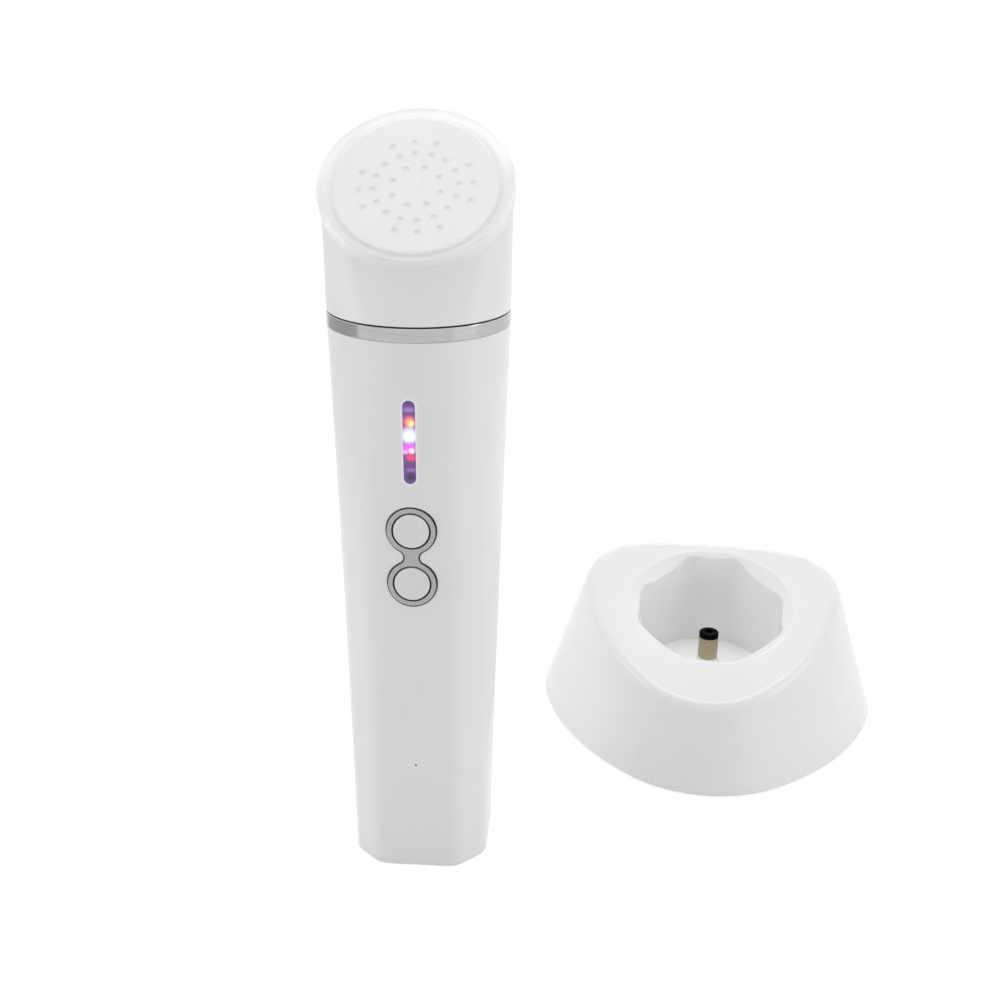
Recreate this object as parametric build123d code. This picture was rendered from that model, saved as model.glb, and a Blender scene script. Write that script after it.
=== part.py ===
from build123d import *
import math
import os

# Hot and cold facial massager: a handset standing beside its charging dock.
# Millimetres, +Z up. The origin is the mouth of the handset's charging socket on the table.
# The handset's buttons face -Y.

# Handset body
foot_half = 15.9             # half the width across the flats at the foot
foot_chamfer = 6.5           # leg of the foot's corner chamfers
foot_corner_radius = 5.0     # rounding of the foot's eight corners
foot_edge = 0.4
body_top_radius = 19.9
body_top_z = 130.1
body_wall = 1.8
pin_hole_radius = 0.3
pin_hole_s = 28.6            # height of the pin hole along the front

# Neck band and the dark groove above it
band_overhang = 0.1          # band's radius over the body's top
band_height = 3.0
band_thickness = 2.0
band_edge = 0.15
groove_height = 0.4
groove_depth = 0.8

# Head and face
head_wall = 1.8
face_tilt = 41.6             # degrees from level, facing the front
face_y = -1.9                # middle of the treatment plate's outer face
face_z = 159.0
shoulder_depth = 2.2         # from the plate's face back to the shoulder under the cap
shoulder_flare = 0.3         # shoulder's radius over the band's
spigot_step = 1.1            # shoulder's radius over the spigot's
spigot_drop = 0.5            # spigot's end below the plate's face
plate_margin = 1.75          # spigot's radius over the plate's
plate_thickness = 1.6
seal_thickness = 0.4
seal_height = 1.2
seal_gap = 0.08
ledge_width = 1.1
ledge_thickness = 1.2

# Windows and lamps of the face
ring_radii = (5.3, 9.0, 12.1)
window_step = 22.5           # degrees between neighbours of the outer rings
window_radius = 0.7
pattern_turn = 6.0           # degrees, the whole pattern
window_gap = 0.1
lamp_side = 1.5
lamp_height = 0.6
lamp_recess = 0.3
lamp_board_margin = 0.95     # plate's radius over the lamp board's
lamp_board_thickness = 1.0
lamp_board_depth = 2.6

# Heating and cooling stack behind the plate
boss_radius = 4.2
boss_length = 5.0            # from the plate's face
module_side = 12.0
module_thickness = 3.0
ceramic_thickness = 0.7
module_step = 0.6
pad_thickness = 0.4
sink_boss_gap = 0.4          # between the lamp board and the bosses of the heat sink
sink_screw_end = 0.8         # screw's end below the boss's top
sink_radius = 9.0
sink_base = 2.0
sink_fin_length = 3.4
sink_fin_thickness = 1.0
sink_fin_pitch = 2.6
sink_ear_x = 13.0
sink_ear_radius = 2.3
sensor_radius = 0.6
sensor_length = 3.0

# Protective cap
cap_overhang = 0.45          # cap's radius over the shoulder's
cap_height = 4.2
cap_top = 2.3                # above the plate's face
cap_wall = 1.1
cap_top_wall = 1.0
cap_bevel_width = 2.5
cap_bevel_drop = 0.75
cap_edge = 0.4
cap_flat_width = 1.6         # between the bevel and the dish
cap_dish_depth = 0.25

# Buttons, bezel and indicator, placed along the front by their distance s from the foot
upper_button_s = 88.3
lower_button_s = 75.7
button_radius = 3.9
button_proud = 0.35
button_edge = 0.3
button_gap = 0.2
button_seat_gap = 0.1
button_travel = 0.5
button_flange_radius = 4.7
button_flange_thickness = 0.8
stem_radius = 1.6
bezel_radius = 5.5
bezel_waist = 3.4
bezel_thickness = 1.2
bezel_proud = 0.1
bezel_gap = 0.15
bezel_edge = 0.2             # chamfer of the bezel's rims
button_mouth_edge = 0.2      # chamfer of the bezel's holes
button_pad_width = 13.0
button_pad_back = 2.7
indicator_s = 108.6
indicator_length = 18.6
indicator_width = 2.6
indicator_gap = 0.05
indicator_recess = 0.1
indicator_flange_gap = 0.2
indicator_guide_gap = 0.3
indicator_flange = 1.2
indicator_flange_thickness = 1.0
indicator_guide_width = 2.0

# Boards, switches and lamps of the body
board_depth = 10.0           # board's front face behind the front of the body
board_thickness = 1.6
board_half_width = 11.4
board_low_s = 40.0
board_high_s = 121.0
board_screw_x = 10.3
board_screw_s = (46.0, 94.0)
switch_side = 6.0
switch_height = 3.4
plunger_radius = 1.5
plunger_gap = 0.1
plunger_rise = 1.05
plunger_length = 2.1
switch_end_gap = 0.25
contact_gap = 0.05
indicator_lamp_count = 6
indicator_lamp_side = 2.0
indicator_lamp_height = 0.9
chip_boxes = ((0.0, 60.0, 7.0, 7.0, 1.2), (6.5, 50.5, 5.0, 5.0, 2.4),
              (-6.5, 50.5, 5.0, 5.0, 2.4), (0.0, 44.5, 6.0, 4.0, 3.2))

# Battery and its tray
cell_radius = 9.0
cell_length = 65.0
cell_edge = 0.4
cell_low_z = 30.2
cell_y = 4.5
tab_width = 5.0
tab_length = 9.0
tab_thickness = 0.2
tray_wall = 1.0
tray_gap = 0.1
tray_end_thickness = 1.6
tray_wall_gap = 0.25
tray_front_y = -4.8
tray_open_y = 0.5
tray_leg_x = 9.5
tray_leg_y = 2.0
tray_leg_radius = 2.4
tray_post_length = 9.0
tray_post_width = 2.8
board_screw_head_radius = 1.4
board_screw_bite = 3.3

# Foot: base cap and charging socket
base_cap_thickness = 2.4
base_cap_gap = 0.1
base_rib_depth = 1.0
base_rib_height = 2.5
base_rib_width = 8.0
base_screw_bite = 6.6
socket_mouth_radius = 3.4
socket_mouth_depth = 4.4
socket_bore_radius = 2.85
socket_bore_end = 12.6
socket_radius = 4.5
socket_flange_radius = 6.0
socket_flange_thickness = 1.2
socket_back_wall = 2.0
pin_radius = 1.0
pin_start = 5.0
pin_tail = 0.9
pin_point = 0.33             # chamfer of the pin's free end

# Neck frame, motor and its weight
neck_step = 2.6              # band's radius over the neck frame's
neck_wall = 1.6
neck_reach = 9.1             # below the body's top
neck_rise = 1.5              # above the groove's top
neck_gap = 0.08
lead_slot_width = 14.6
lead_slot_depth = 4.5
lead_slot_inset = 9.8        # from the body's front to the slot's middle
web_drop = 3.1               # below the body's top
web_thickness = 2.0
motor_screw_gap = 1.0        # between the motor's socket and the head of the screw behind it
motor_radius = 6.0
motor_length = 19.8
motor_end_gap = 0.2
motor_sleeve_wall = 1.15
motor_sleeve_gap = 0.05
motor_sleeve_length = 18.6
motor_socket_gap = 0.1
motor_socket_wall = 1.2
motor_socket_length = 14.0
shaft_radius = 1.0
shaft_fit = 0.05
shaft_depth = 10.8
shaft_end_gap = 0.05
shaft_hole_radius = 2.0
weight_radius = 5.0
weight_hub_radius = 2.0
weight_height = 4.4
weight_lift = 1.0            # above the web
head_boss_radius = 2.4
head_screw_margin = 0.5      # between the screws' heads and the neck frame's wall
head_boss_height = 6.0
head_boss_gap = 0.8
head_boss_cover = 0.5        # boss left closed beyond the screw's hole
head_screw_turns = (90.0, 210.0, 330.0)

# Screws
screw_radius = 1.0
screw_head_radius = 1.9
screw_head_height = 1.2
screw_gap = 0.05
screw_end_gap = 0.5
cross_width = 0.45           # arms of the cross recess in a screw's head
cross_length = 2.2
cross_depth = 0.6

# Dock
dock_x = 74.4
dock_y = 63.3
dock_turn = -5.3             # degrees about its upright axis
dock_front_radius = 32.4
dock_front_reach = 44.8
dock_corner_radius = 27.8
dock_corner_x = 20.4
dock_corner_y = 11.4
dock_side_radius = 73.5
dock_back_radius = 144.0
dock_draft = 18.0
dock_axis_height = 35.0      # of the slanted top, at the well's axis
dock_slant = 17.6
dock_wall = 2.4
dock_edge = 3.2
dock_foot_edge = 0.5
dock_stand = 0.4             # gap under the shell's lower edge

# Well of the dock
well_flat_half = 7.0
well_corner_gap = 0.5        # between the handset's foot chamfers and the well's
well_corner_radius = 6.0
well_floor_z = 14.3
well_floor_thickness = 3.2
well_wall = 2.0
well_draft = 4.0
well_mouth_edge = 0.7        # rounding between the well's walls and its rim
mouth_edge_shares = (1.0, 0.7, 0.4)  # of that rounding, tried in turn where walls leave less room
least_mouth_share = 0.2
rim_radius = 23.2
rim_width = 3.6
rim_depth = 2.2
rim_edge = 0.8

# Plug and its holder
plug_radius = 2.75
plug_shoulder = 4.3          # collar's height above the well's floor
plug_metal_length = 6.3
plug_tip_length = 1.6
plug_tip_edge = 0.3
plug_crimp_radius = 2.45     # sleeve inside its holder
plug_sleeve_wall = 0.6
plug_layer_gap = 0.05
plug_contact_radius = 1.7
plug_contact_wall = 0.5
collar_radius = 3.0
collar_gap = 0.1
holder_flange_radius = 6.5
holder_flange_thickness = 2.2
holder_ear_x = 10.5
holder_ear_radius = 2.6
holder_screw_bite = 2.0

# Dock base, feet and inlet
dock_base_low_z = 0.8
dock_base_thickness = 2.2
dock_base_gap = 0.2
dock_boss_radius = 3.0
dock_boss_places = ((0.0, -27.5), (27.0, 17.0), (-27.0, 17.0))
dock_foot_radius = 5.0
dock_foot_height = 2.0
dock_foot_gap = 0.1
dock_foot_edge_size = 0.2
dock_screw_bite = 6.6
dock_foot_places = ((0.0, -36.0), (35.0, 8.0), (-35.0, 8.0))
inlet_z = 9.5
inlet_radius = 4.6
inlet_length = 11.0
inlet_bore_length = 8.6
inlet_recess = 0.5
inlet_gap = 0.1
inlet_pin_setback = 1.0
saddle_width = 12.0
saddle_length = 7.0
saddle_setback = 3.0
saddle_gap = 0.05

# Leads
thin_lead_radius = 0.7
lead_radius = 0.9
bend_share = 0.45            # of the shorter run beside a bend
socket_lead_rise = 3.6
socket_lead_rejoin = 13.0
battery_lead_rise = 5.0
battery_lead_step = 2.0
battery_lead_reach = 5.0
motor_lead_x = 3.0
motor_lead_drop = 4.0
motor_lead_step = 0.6
motor_lead_reach = 4.0
head_lead_x = 4.0
head_lead_rise = 10.0
head_lead_reach = 7.0
lamp_lead_y = -11.4
dock_lead_level = 0.7        # share of the inlet's distance at which the lead turns down
dock_lead_landed = 0.4
dock_lead_height = 1.8       # above the base plate

# Working sizes
cut_over = 1.0               # how far a cut runs past what it cuts
form_height = 60.0           # of the dock's form before its top is cut
big = 200.0                  # wider than any piece

# Values that follow from the sizes above
band_radius = body_top_radius + band_overhang
head_radius = band_radius
shoulder_radius = head_radius + shoulder_flare
spigot_radius = shoulder_radius - spigot_step
plate_radius = spigot_radius - plate_margin
lamp_board_radius = plate_radius - lamp_board_margin
cap_radius = shoulder_radius + cap_overhang
cap_bevel_radius = cap_radius - cap_bevel_width
cap_dish_radius = cap_bevel_radius - cap_flat_width
neck_radius = band_radius - neck_step
neck_bore_radius = neck_radius - neck_wall
head_boss_circle = neck_bore_radius - head_screw_margin - screw_head_radius
motor_socket_bore = motor_radius + motor_sleeve_gap + motor_sleeve_wall + motor_socket_gap
motor_socket_radius = motor_socket_bore + motor_socket_wall
motor_y = head_boss_circle - screw_head_radius - motor_screw_gap - motor_socket_radius
lead_slot_y = lead_slot_inset - body_top_radius
neck_low_z = body_top_z - neck_reach
web_low_z = body_top_z - web_drop
foot_flat_half = foot_half - foot_chamfer
front_lean = math.degrees(math.atan2(body_top_radius - foot_half, body_top_z))
band_top_z = body_top_z + band_height
head_low_z = band_top_z + groove_height
head_boss_low_z = head_low_z + neck_rise + head_boss_gap
shoulder_z = -shoulder_depth
lamp_board_back = lamp_board_depth + lamp_board_thickness
board_back = board_depth + board_thickness
plunger_top = switch_height + plunger_rise - board_depth
switch_bore_depth = plunger_length - plunger_rise + button_travel + switch_end_gap
module_top = boss_length + pad_thickness
module_back = module_top + module_thickness
sink_top = module_back + pad_thickness
sink_back = sink_top + sink_base
cell_high_z = cell_low_z + cell_length
well_floor_half = foot_half + foot_flat_half + well_corner_gap - well_flat_half
well_floor_low_z = well_floor_z - well_floor_thickness
collar_top_z = well_floor_z + plug_shoulder
plug_metal_top_z = collar_top_z + plug_metal_length
plug_top_z = plug_metal_top_z + plug_tip_length
holder_low_z = well_floor_low_z - holder_flange_thickness
dock_base_top_z = dock_base_low_z + dock_base_thickness

front = Plane(
    origin=(0, -foot_half, 0),
    x_dir=(1, 0, 0),
    z_dir=(0, -math.cos(math.radians(front_lean)), -math.sin(math.radians(front_lean))),
)
face = Plane(
    origin=(0, face_y, face_z),
    x_dir=(1, 0, 0),
    z_dir=(0, -math.sin(math.radians(face_tilt)), math.cos(math.radians(face_tilt))),
)
dock_top = Plane(
    origin=(0, 0, dock_axis_height),
    x_dir=(1, 0, 0),
    z_dir=(0, -math.sin(math.radians(dock_slant)), math.cos(math.radians(dock_slant))),
)
dock_place = Pos(dock_x, dock_y, 0) * Rot(0, 0, dock_turn)


def rod(radius, low, high, at=(0, 0)):
    """A cylinder along Z between two heights."""
    shape = Cylinder(radius, high - low, align=(Align.CENTER, Align.CENTER, Align.MIN))
    return Pos(at[0], at[1], low) * shape


def tube(outer, inner, low, high, at=(0, 0)):
    """A round tube along Z between two heights."""
    return rod(outer, low, high, at) - rod(inner, low - cut_over, high + cut_over, at)


def block(x_size, y_size, low, high, at=(0, 0)):
    """A box between two heights, centred on a point."""
    shape = Box(x_size, y_size, high - low, align=(Align.CENTER, Align.CENTER, Align.MIN))
    return Pos(at[0], at[1], low) * shape


def on_circle(radius, turn):
    """The point on a circle at an angle in degrees."""
    return radius * math.cos(math.radians(turn)), radius * math.sin(math.radians(turn))


def cross_recess(low, high, at):
    """The cross-shaped recess of a screw's head."""
    return block(cross_length, cross_width, low, high, at) + block(
        cross_width, cross_length, low, high, at)


def screw(head_low, tip, at=(0, 0)):
    """A screw that points up: its head, then its shank to the tip."""
    head = rod(screw_head_radius, head_low, head_low + screw_head_height, at)
    shank = rod(screw_radius, head_low + screw_head_height, tip, at)
    return head + shank - cross_recess(head_low - cut_over, head_low + cross_depth, at)


def octagon_points(half, flat_half):
    """Corners of a square with chamfered corners."""
    h, f = half, flat_half
    return [(h, -f), (h, f), (f, h), (-f, h), (-h, f), (-h, -f), (-f, -h), (f, -h)]


def rounded_corners(half, flat_half, radius):
    """Where each rounded corner of a chamfered square starts and ends, with its arc's centre."""
    points = octagon_points(half, flat_half)
    trim = radius * math.tan(math.radians(22.5))
    corners = []
    for before, at, after in zip(points[-1:] + points[:-1], points, points[1:] + points[:1]):
        start = Vector(*at) + (Vector(*before) - Vector(*at)).normalized() * trim
        end = Vector(*at) + (Vector(*after) - Vector(*at)).normalized() * trim
        inward = Vector(*at).normalized() * (radius / math.cos(math.radians(22.5)))
        corners.append((start, end, Vector(*at) - inward))
    return corners


def direction(point, centre=(0, 0)):
    """The direction from a centre to a point, in degrees."""
    away = Vector(point) - Vector(centre)
    return math.degrees(math.atan2(away.Y, away.X))


def octagon_face(half, flat_half, radius, z):
    """A square with chamfered and rounded corners: eight arcs and eight straight sides."""
    corners = rounded_corners(half, flat_half, radius)
    edges = []
    for (start, end, centre), (following, _, _) in zip(corners, corners[1:] + corners[:1]):
        turned = ((end - start) * 0.5 + start - centre).normalized() * radius + centre
        edges.append(ThreePointArc(start, turned, end))
        edges.append(Line(end, following))
    return Pos(0, 0, z) * make_face(edges)


def many_arc_face(radius, corners, z):
    """A disc whose rim is split in the directions of the corners' ends."""
    turns = [direction(point) for start, end, _ in corners for point in (start, end)]
    arcs = []
    for start, end in zip(turns, turns[1:] + turns[:1]):
        arcs.append(CenterArc((0, 0), radius, start, (end - start) % 360))
    return Pos(0, 0, z) * make_face(arcs)


def foot_outline(inset):
    """Half width, half flat and corner radius of the foot's outline, drawn in by an inset."""
    half = foot_half - inset
    flat_half = foot_half + foot_flat_half - inset * math.sqrt(2) - half
    return half, flat_half, foot_corner_radius - inset


def body_form(inset):
    """The body's outer form, or the same form drawn in by an inset."""
    half, flat_half, radius = foot_outline(inset)
    low = octagon_face(half, flat_half, radius, 0)
    corners = rounded_corners(half, flat_half, radius)
    high = many_arc_face(body_top_radius - inset, corners, body_top_z)
    return loft([low, high], ruled=True)


def body_section(inset, low, high):
    """A slice of the body's form between two heights."""
    return body_form(inset) & block(big, big, low, high)


def head_form(inset):
    """The head's outer form up to its shoulder, or the same form drawn in by an inset."""
    low = Pos(0, 0, head_low_z) * Circle(head_radius - inset)
    high = (face * Pos(0, 0, shoulder_z)) * Circle(shoulder_radius - inset)
    return loft([low, high], ruled=True)


def window_places():
    """Places of the 36 windows: three rings about a bare middle."""
    places = []
    for step in range(8):
        places.append(on_circle(ring_radii[0], (2 * step + 1) * window_step + pattern_turn))
    for step in range(16):
        places.append(on_circle(ring_radii[1], window_step * step + pattern_turn))
    for step in range(16):
        if step % 4 != 2:
            places.append(on_circle(ring_radii[2], window_step * step + pattern_turn))
    return places


def bezel_outline(gap):
    """A figure eight: two discs joined by a waist with hollow flanks."""
    radius = bezel_radius + gap
    reach = (upper_button_s - lower_button_s) / 2
    waist = bezel_waist / 2 + gap
    hollow = (reach**2 + waist**2 - radius**2) / (2 * (radius - waist))
    flank_x = waist + hollow
    share = radius / (radius + hollow)
    outline = Pos(0, reach) * Circle(radius) + Pos(0, -reach) * Circle(radius)
    bridge = Rectangle(2 * flank_x * share, 2 * reach * (1 - share))
    for side in (-1, 1):
        bridge -= Pos(side * flank_x, 0) * Circle(hollow)
    return Pos(0, (upper_button_s + lower_button_s) / 2) * (outline + bridge)


def indicator_slot(gap):
    return Pos(0, indicator_s) * Rot(0, 0, 90) * SlotOverall(
        indicator_length + 2 * gap, indicator_width + 2 * gap
    )


def slab(outline, low, high):
    """An outline made solid between two heights of its own plane."""
    return Pos(0, 0, low) * extrude(outline, amount=high - low)


# Handset body

def make_body_shell():
    shell = body_form(0) - body_form(body_wall)
    pad_length = upper_button_s - lower_button_s + button_pad_width
    pad_middle = (upper_button_s + lower_button_s) / 2
    pad = block(button_pad_width, pad_length, -button_pad_back, -body_wall / 2, (0, pad_middle))
    shell += front.location * pad & body_form(body_wall / 2)
    for side in (-1, 1):
        rib = block(2 * base_rib_depth + body_wall, base_rib_width, base_cap_thickness,
                    base_cap_thickness + base_rib_height, (side * (foot_half - body_wall), 0))
        shell += rib & body_form(body_wall / 2)
    cuts = slab(bezel_outline(bezel_gap), bezel_proud - bezel_thickness, cut_over)
    cuts += slab(indicator_slot(indicator_gap), -2 * body_wall, cut_over)
    cuts += rod(pin_hole_radius, -2 * body_wall, cut_over, (0, pin_hole_s))
    for s in (upper_button_s, lower_button_s):
        cuts += rod(button_radius + button_gap, -2 * button_pad_back, cut_over, (0, s))
    shell -= front.location * cuts
    foot_face = shell.faces().sort_by(Axis.Z)[0]
    return chamfer(foot_face.outer_wire().edges(), foot_edge)


def make_base_cap():
    outline = octagon_face(*foot_outline(body_wall + base_cap_gap), 0)
    cap = slab(outline, 0, base_cap_thickness)
    cap -= rod(socket_mouth_radius, -cut_over, base_cap_thickness + cut_over)
    for side in (-1, 1):
        at = (side * tray_leg_x, tray_leg_y)
        cap -= rod(screw_radius + screw_gap, -cut_over, base_cap_thickness + cut_over, at)
        cap -= rod(screw_head_radius + screw_gap, -cut_over, screw_head_height, at)
    return cap


def make_base_screws():
    tip = base_cap_thickness + base_screw_bite
    return [screw(0, tip, (side * tray_leg_x, tray_leg_y)) for side in (-1, 1)]


def make_charging_socket():
    back = socket_bore_end + socket_back_wall
    flange_top = base_cap_thickness + socket_flange_thickness
    shape = rod(socket_radius, base_cap_thickness, back)
    shape += rod(socket_flange_radius, base_cap_thickness, flange_top)
    shape -= rod(socket_mouth_radius, base_cap_thickness - cut_over, socket_mouth_depth)
    shape -= rod(socket_bore_radius, base_cap_thickness - cut_over, socket_bore_end)
    return shape - rod(pin_radius + screw_gap, 0, back + cut_over)


def make_socket_pin():
    pin = rod(pin_radius, pin_start, socket_bore_end + socket_back_wall + pin_tail)
    return chamfer(pin.edges().group_by(Axis.Z)[0], pin_point)


def make_button_bezel():
    bezel = slab(bezel_outline(0), bezel_proud - bezel_thickness, bezel_proud)
    bezel = chamfer(bezel.faces().sort_by(Axis.Z)[-1].edges(), bezel_edge)
    for s in (upper_button_s, lower_button_s):
        hole = rod(button_radius + button_gap, -2 * bezel_thickness, cut_over, (0, s))
        mouth = Pos(0, s, bezel_proud - button_mouth_edge) * Cone(
            button_radius + button_gap, button_radius + button_gap + button_mouth_edge,
            button_mouth_edge, align=(Align.CENTER, Align.CENTER, Align.MIN))
        bezel -= hole + mouth
    return front.location * bezel


def make_button(s):
    flange_top = -button_pad_back - button_seat_gap
    flange_low = flange_top - button_flange_thickness
    stem_low = plunger_top + contact_gap
    disc = rod(button_radius, flange_top, button_proud, (0, s))
    disc = fillet(disc.edges().group_by(Axis.Z)[-1], button_edge)
    shape = disc + rod(button_flange_radius, flange_low, flange_top, (0, s))
    return front.location * (shape + rod(stem_radius, stem_low, flange_low, (0, s)))


def make_plunger(s):
    return front.location * rod(plunger_radius, plunger_top - plunger_length, plunger_top, (0, s))


def make_switch(s):
    top = switch_height - board_depth
    shape = block(switch_side, switch_side, -board_depth, top, (0, s))
    bore = rod(plunger_radius + plunger_gap, top - switch_bore_depth, top + cut_over, (0, s))
    return front.location * (shape - bore)


def make_indicator_lens():
    flange_top = -body_wall - indicator_flange_gap
    flange_low = flange_top - indicator_flange_thickness
    guide_low = indicator_lamp_height + indicator_guide_gap - board_depth
    lens = slab(indicator_slot(0), flange_top, -indicator_recess)
    flange = Pos(0, indicator_s) * Rectangle(
        indicator_width + 2 * indicator_flange, indicator_length + 2 * indicator_flange
    )
    lens += slab(flange, flange_low, flange_top)
    guide_length = indicator_length - indicator_width
    lens += block(indicator_guide_width, guide_length, guide_low, flange_low, (0, indicator_s))
    return front.location * lens


def make_indicator_lamps():
    pitch = (indicator_length - indicator_width) / indicator_lamp_count
    first = indicator_s - pitch * (indicator_lamp_count - 1) / 2
    lamps = []
    for step in range(indicator_lamp_count):
        lamp = block(indicator_lamp_side, indicator_lamp_side, -board_depth,
                     indicator_lamp_height - board_depth, (0, first + step * pitch))
        lamps.append(front.location * lamp)
    return lamps


def board_screw_places():
    return [(side * board_screw_x, s) for side in (-1, 1) for s in board_screw_s]


def make_main_board():
    middle = (board_low_s + board_high_s) / 2
    board = block(2 * board_half_width, board_high_s - board_low_s, -board_back, -board_depth,
                  (0, middle))
    for at in board_screw_places():
        board -= rod(screw_radius + screw_gap, -2 * board_back, 0, at)
    return front.location * board


def make_board_screws():
    screws = []
    for at in board_screw_places():
        head_top = screw_head_height - board_depth
        head = rod(board_screw_head_radius, -board_depth, head_top, at)
        shank = rod(screw_radius, -board_back - board_screw_bite, -board_depth, at)
        recess = cross_recess(head_top - cross_depth, head_top + cut_over, at)
        screws.append(front.location * (head + shank - recess))
    return screws


def make_board_chips():
    chips = []
    for x, s, width, length, height in chip_boxes:
        chips.append(front.location * block(width, length, -board_depth, height - board_depth,
                                            (x, s)))
    return chips


def make_battery_cell():
    cell = rod(cell_radius, cell_low_z, cell_high_z, (0, cell_y))
    return chamfer(cell.edges(), cell_edge)


def make_battery_tabs():
    tabs = []
    for low in (cell_low_z - tab_thickness, cell_high_z):
        tabs.append(block(tab_width, tab_length, low, low + tab_thickness, (0, cell_y)))
    return tabs


def make_battery_tray():
    low_end = cell_low_z - tab_thickness
    high_end = cell_high_z + tab_thickness
    inner = cell_radius + tray_gap
    tray = tube(inner + tray_wall, inner, low_end - tray_end_thickness / 2,
                high_end + tray_end_thickness / 2, (0, cell_y))
    tray -= block(big, big, 0, big, (0, tray_open_y - big / 2))
    for low in (low_end - tray_end_thickness, high_end):
        end = body_section(body_wall + tray_wall_gap, low, low + tray_end_thickness)
        tray += end - block(big, big, 0, big, (0, tray_front_y - big / 2))
    for x, s in board_screw_places():
        post = block(tray_post_width, 2 * tray_leg_radius, -board_back - tray_post_length,
                     -board_back, (x, s))
        tray += front.location * post - rod(inner, 0, big, (0, cell_y))
    for side in (-1, 1):
        at = (side * tray_leg_x, tray_leg_y)
        tray += rod(tray_leg_radius, base_cap_thickness, low_end - tray_end_thickness / 2, at)
        tray -= rod(screw_radius + screw_gap, 0,
                    base_cap_thickness + base_screw_bite + screw_end_gap, at)
    for at in board_screw_places():
        tray -= front.location * rod(screw_radius + screw_gap,
                                     -board_back - board_screw_bite - screw_end_gap, 0, at)
    lead_notch = Pos(0, cell_y, high_end) * Box(
        tab_width, tab_length, 2 * (tray_end_thickness + cut_over))
    return tray - lead_notch


# Neck

def make_neck_band():
    band = tube(band_radius, band_radius - band_thickness, body_top_z, band_top_z)
    rims = [edge for edge in band.edges().filter_by(GeomType.CIRCLE)
            if edge.radius > band_radius - band_thickness / 2]
    return chamfer(rims, band_edge)


def head_screw_places():
    return [on_circle(head_boss_circle, turn) for turn in head_screw_turns]


def make_neck_frame():
    top = head_low_z + neck_rise
    collar = band_radius - band_thickness - neck_gap
    frame = tube(neck_radius, neck_bore_radius, neck_low_z, top)
    frame += tube(collar, neck_bore_radius, body_top_z + neck_gap, band_top_z)
    frame += tube(band_radius - groove_depth, neck_bore_radius, band_top_z, head_low_z)
    frame += rod(neck_radius - neck_wall / 2, web_low_z, web_low_z + web_thickness)
    frame += tube(motor_socket_radius, motor_socket_bore,
                  web_low_z - motor_socket_length, web_low_z, (0, motor_y))
    frame -= rod(shaft_hole_radius, web_low_z - cut_over,
                 web_low_z + web_thickness + cut_over, (0, motor_y))
    frame -= block(lead_slot_width, lead_slot_depth, web_low_z - cut_over,
                   web_low_z + web_thickness + cut_over, (0, lead_slot_y))
    for at in head_screw_places():
        frame -= rod(screw_radius + screw_gap, 0, head_low_z, at)
    return frame


def make_head_screws():
    tip = head_boss_low_z + head_boss_height - head_boss_cover - screw_end_gap
    return [screw(web_low_z - screw_head_height, tip, at) for at in head_screw_places()]


def make_vibration_motor():
    top = web_low_z - motor_end_gap
    motor = rod(motor_radius, top - motor_length, top, (0, motor_y))
    return motor - rod(shaft_radius + shaft_fit, top - shaft_depth, top + cut_over,
                       (0, motor_y))


def make_motor_sleeve():
    top = web_low_z - 2 * motor_end_gap
    inner = motor_radius + motor_sleeve_gap
    return tube(inner + motor_sleeve_wall, inner, top - motor_sleeve_length, top, (0, motor_y))


def make_motor_shaft():
    low = web_low_z - motor_end_gap - shaft_depth + shaft_end_gap
    high = web_low_z + web_thickness + weight_lift + weight_height
    return rod(shaft_radius, low, high, (0, motor_y))


def make_eccentric_weight():
    low = web_low_z + web_thickness + weight_lift
    high = low + weight_height
    weight = rod(weight_radius, low, high, (0, motor_y))
    weight -= block(big, big, low - cut_over, high + cut_over, (0, motor_y - big / 2))
    weight += rod(weight_hub_radius, low, high, (0, motor_y))
    return weight - rod(shaft_radius + shaft_fit / 2, low - cut_over, high + cut_over, (0, motor_y))


# Head

def make_head_shell():
    shell = head_form(0) - head_form(head_wall)
    rim = rod(spigot_radius, -shoulder_depth - ledge_thickness, -spigot_drop)
    shell += (face.location * rim) & block(big, big, head_low_z, big + head_low_z)
    mouth_radius = plate_radius + seal_thickness + 2 * seal_gap
    cuts = rod(mouth_radius, -plate_thickness, cut_over)
    cuts += rod(mouth_radius - ledge_width, -plate_thickness - ledge_thickness - cut_over, cut_over)
    shell -= face.location * cuts
    void = head_form(head_wall) - face.location * block(
        big, big, -plate_thickness - ledge_thickness, big)
    shell -= void
    boss_top = -lamp_board_back - sink_boss_gap
    arm_length = shoulder_radius - head_wall / 2 - sink_ear_x
    for side in (-1, 1):
        boss = rod(sink_ear_radius, -sink_top, boss_top, (side * sink_ear_x, 0))
        boss += block(arm_length, 2 * sink_ear_radius, -sink_top, boss_top,
                      (side * (sink_ear_x + arm_length / 2), 0))
        hole = rod(screw_radius + screw_gap, -2 * sink_top, boss_top - sink_screw_end / 2,
                   (side * sink_ear_x, 0))
        shell += (face.location * boss) & head_form(head_wall / 2)
        shell -= face.location * hole
    low = head_boss_low_z
    for turn, at in zip(head_screw_turns, head_screw_places()):
        boss = rod(head_boss_radius, low, low + head_boss_height, at)
        arm = Pos(head_boss_circle, 0, low) * Box(
            head_radius - head_wall / 2 - head_boss_circle, 2 * head_boss_radius,
            head_boss_height, align=(Align.MIN, Align.CENTER, Align.MIN))
        boss += Rot(0, 0, turn) * arm
        boss = boss & head_form(head_wall / 2)
        shell += boss - rod(screw_radius + screw_gap, 0,
                            low + head_boss_height - head_boss_cover, at)
    return shell


def make_treatment_plate():
    plate = rod(plate_radius, -plate_thickness, 0) + rod(boss_radius, -boss_length, 0)
    for at in window_places():
        plate -= rod(window_radius, -2 * plate_thickness, cut_over, at)
    return face.location * plate


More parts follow.
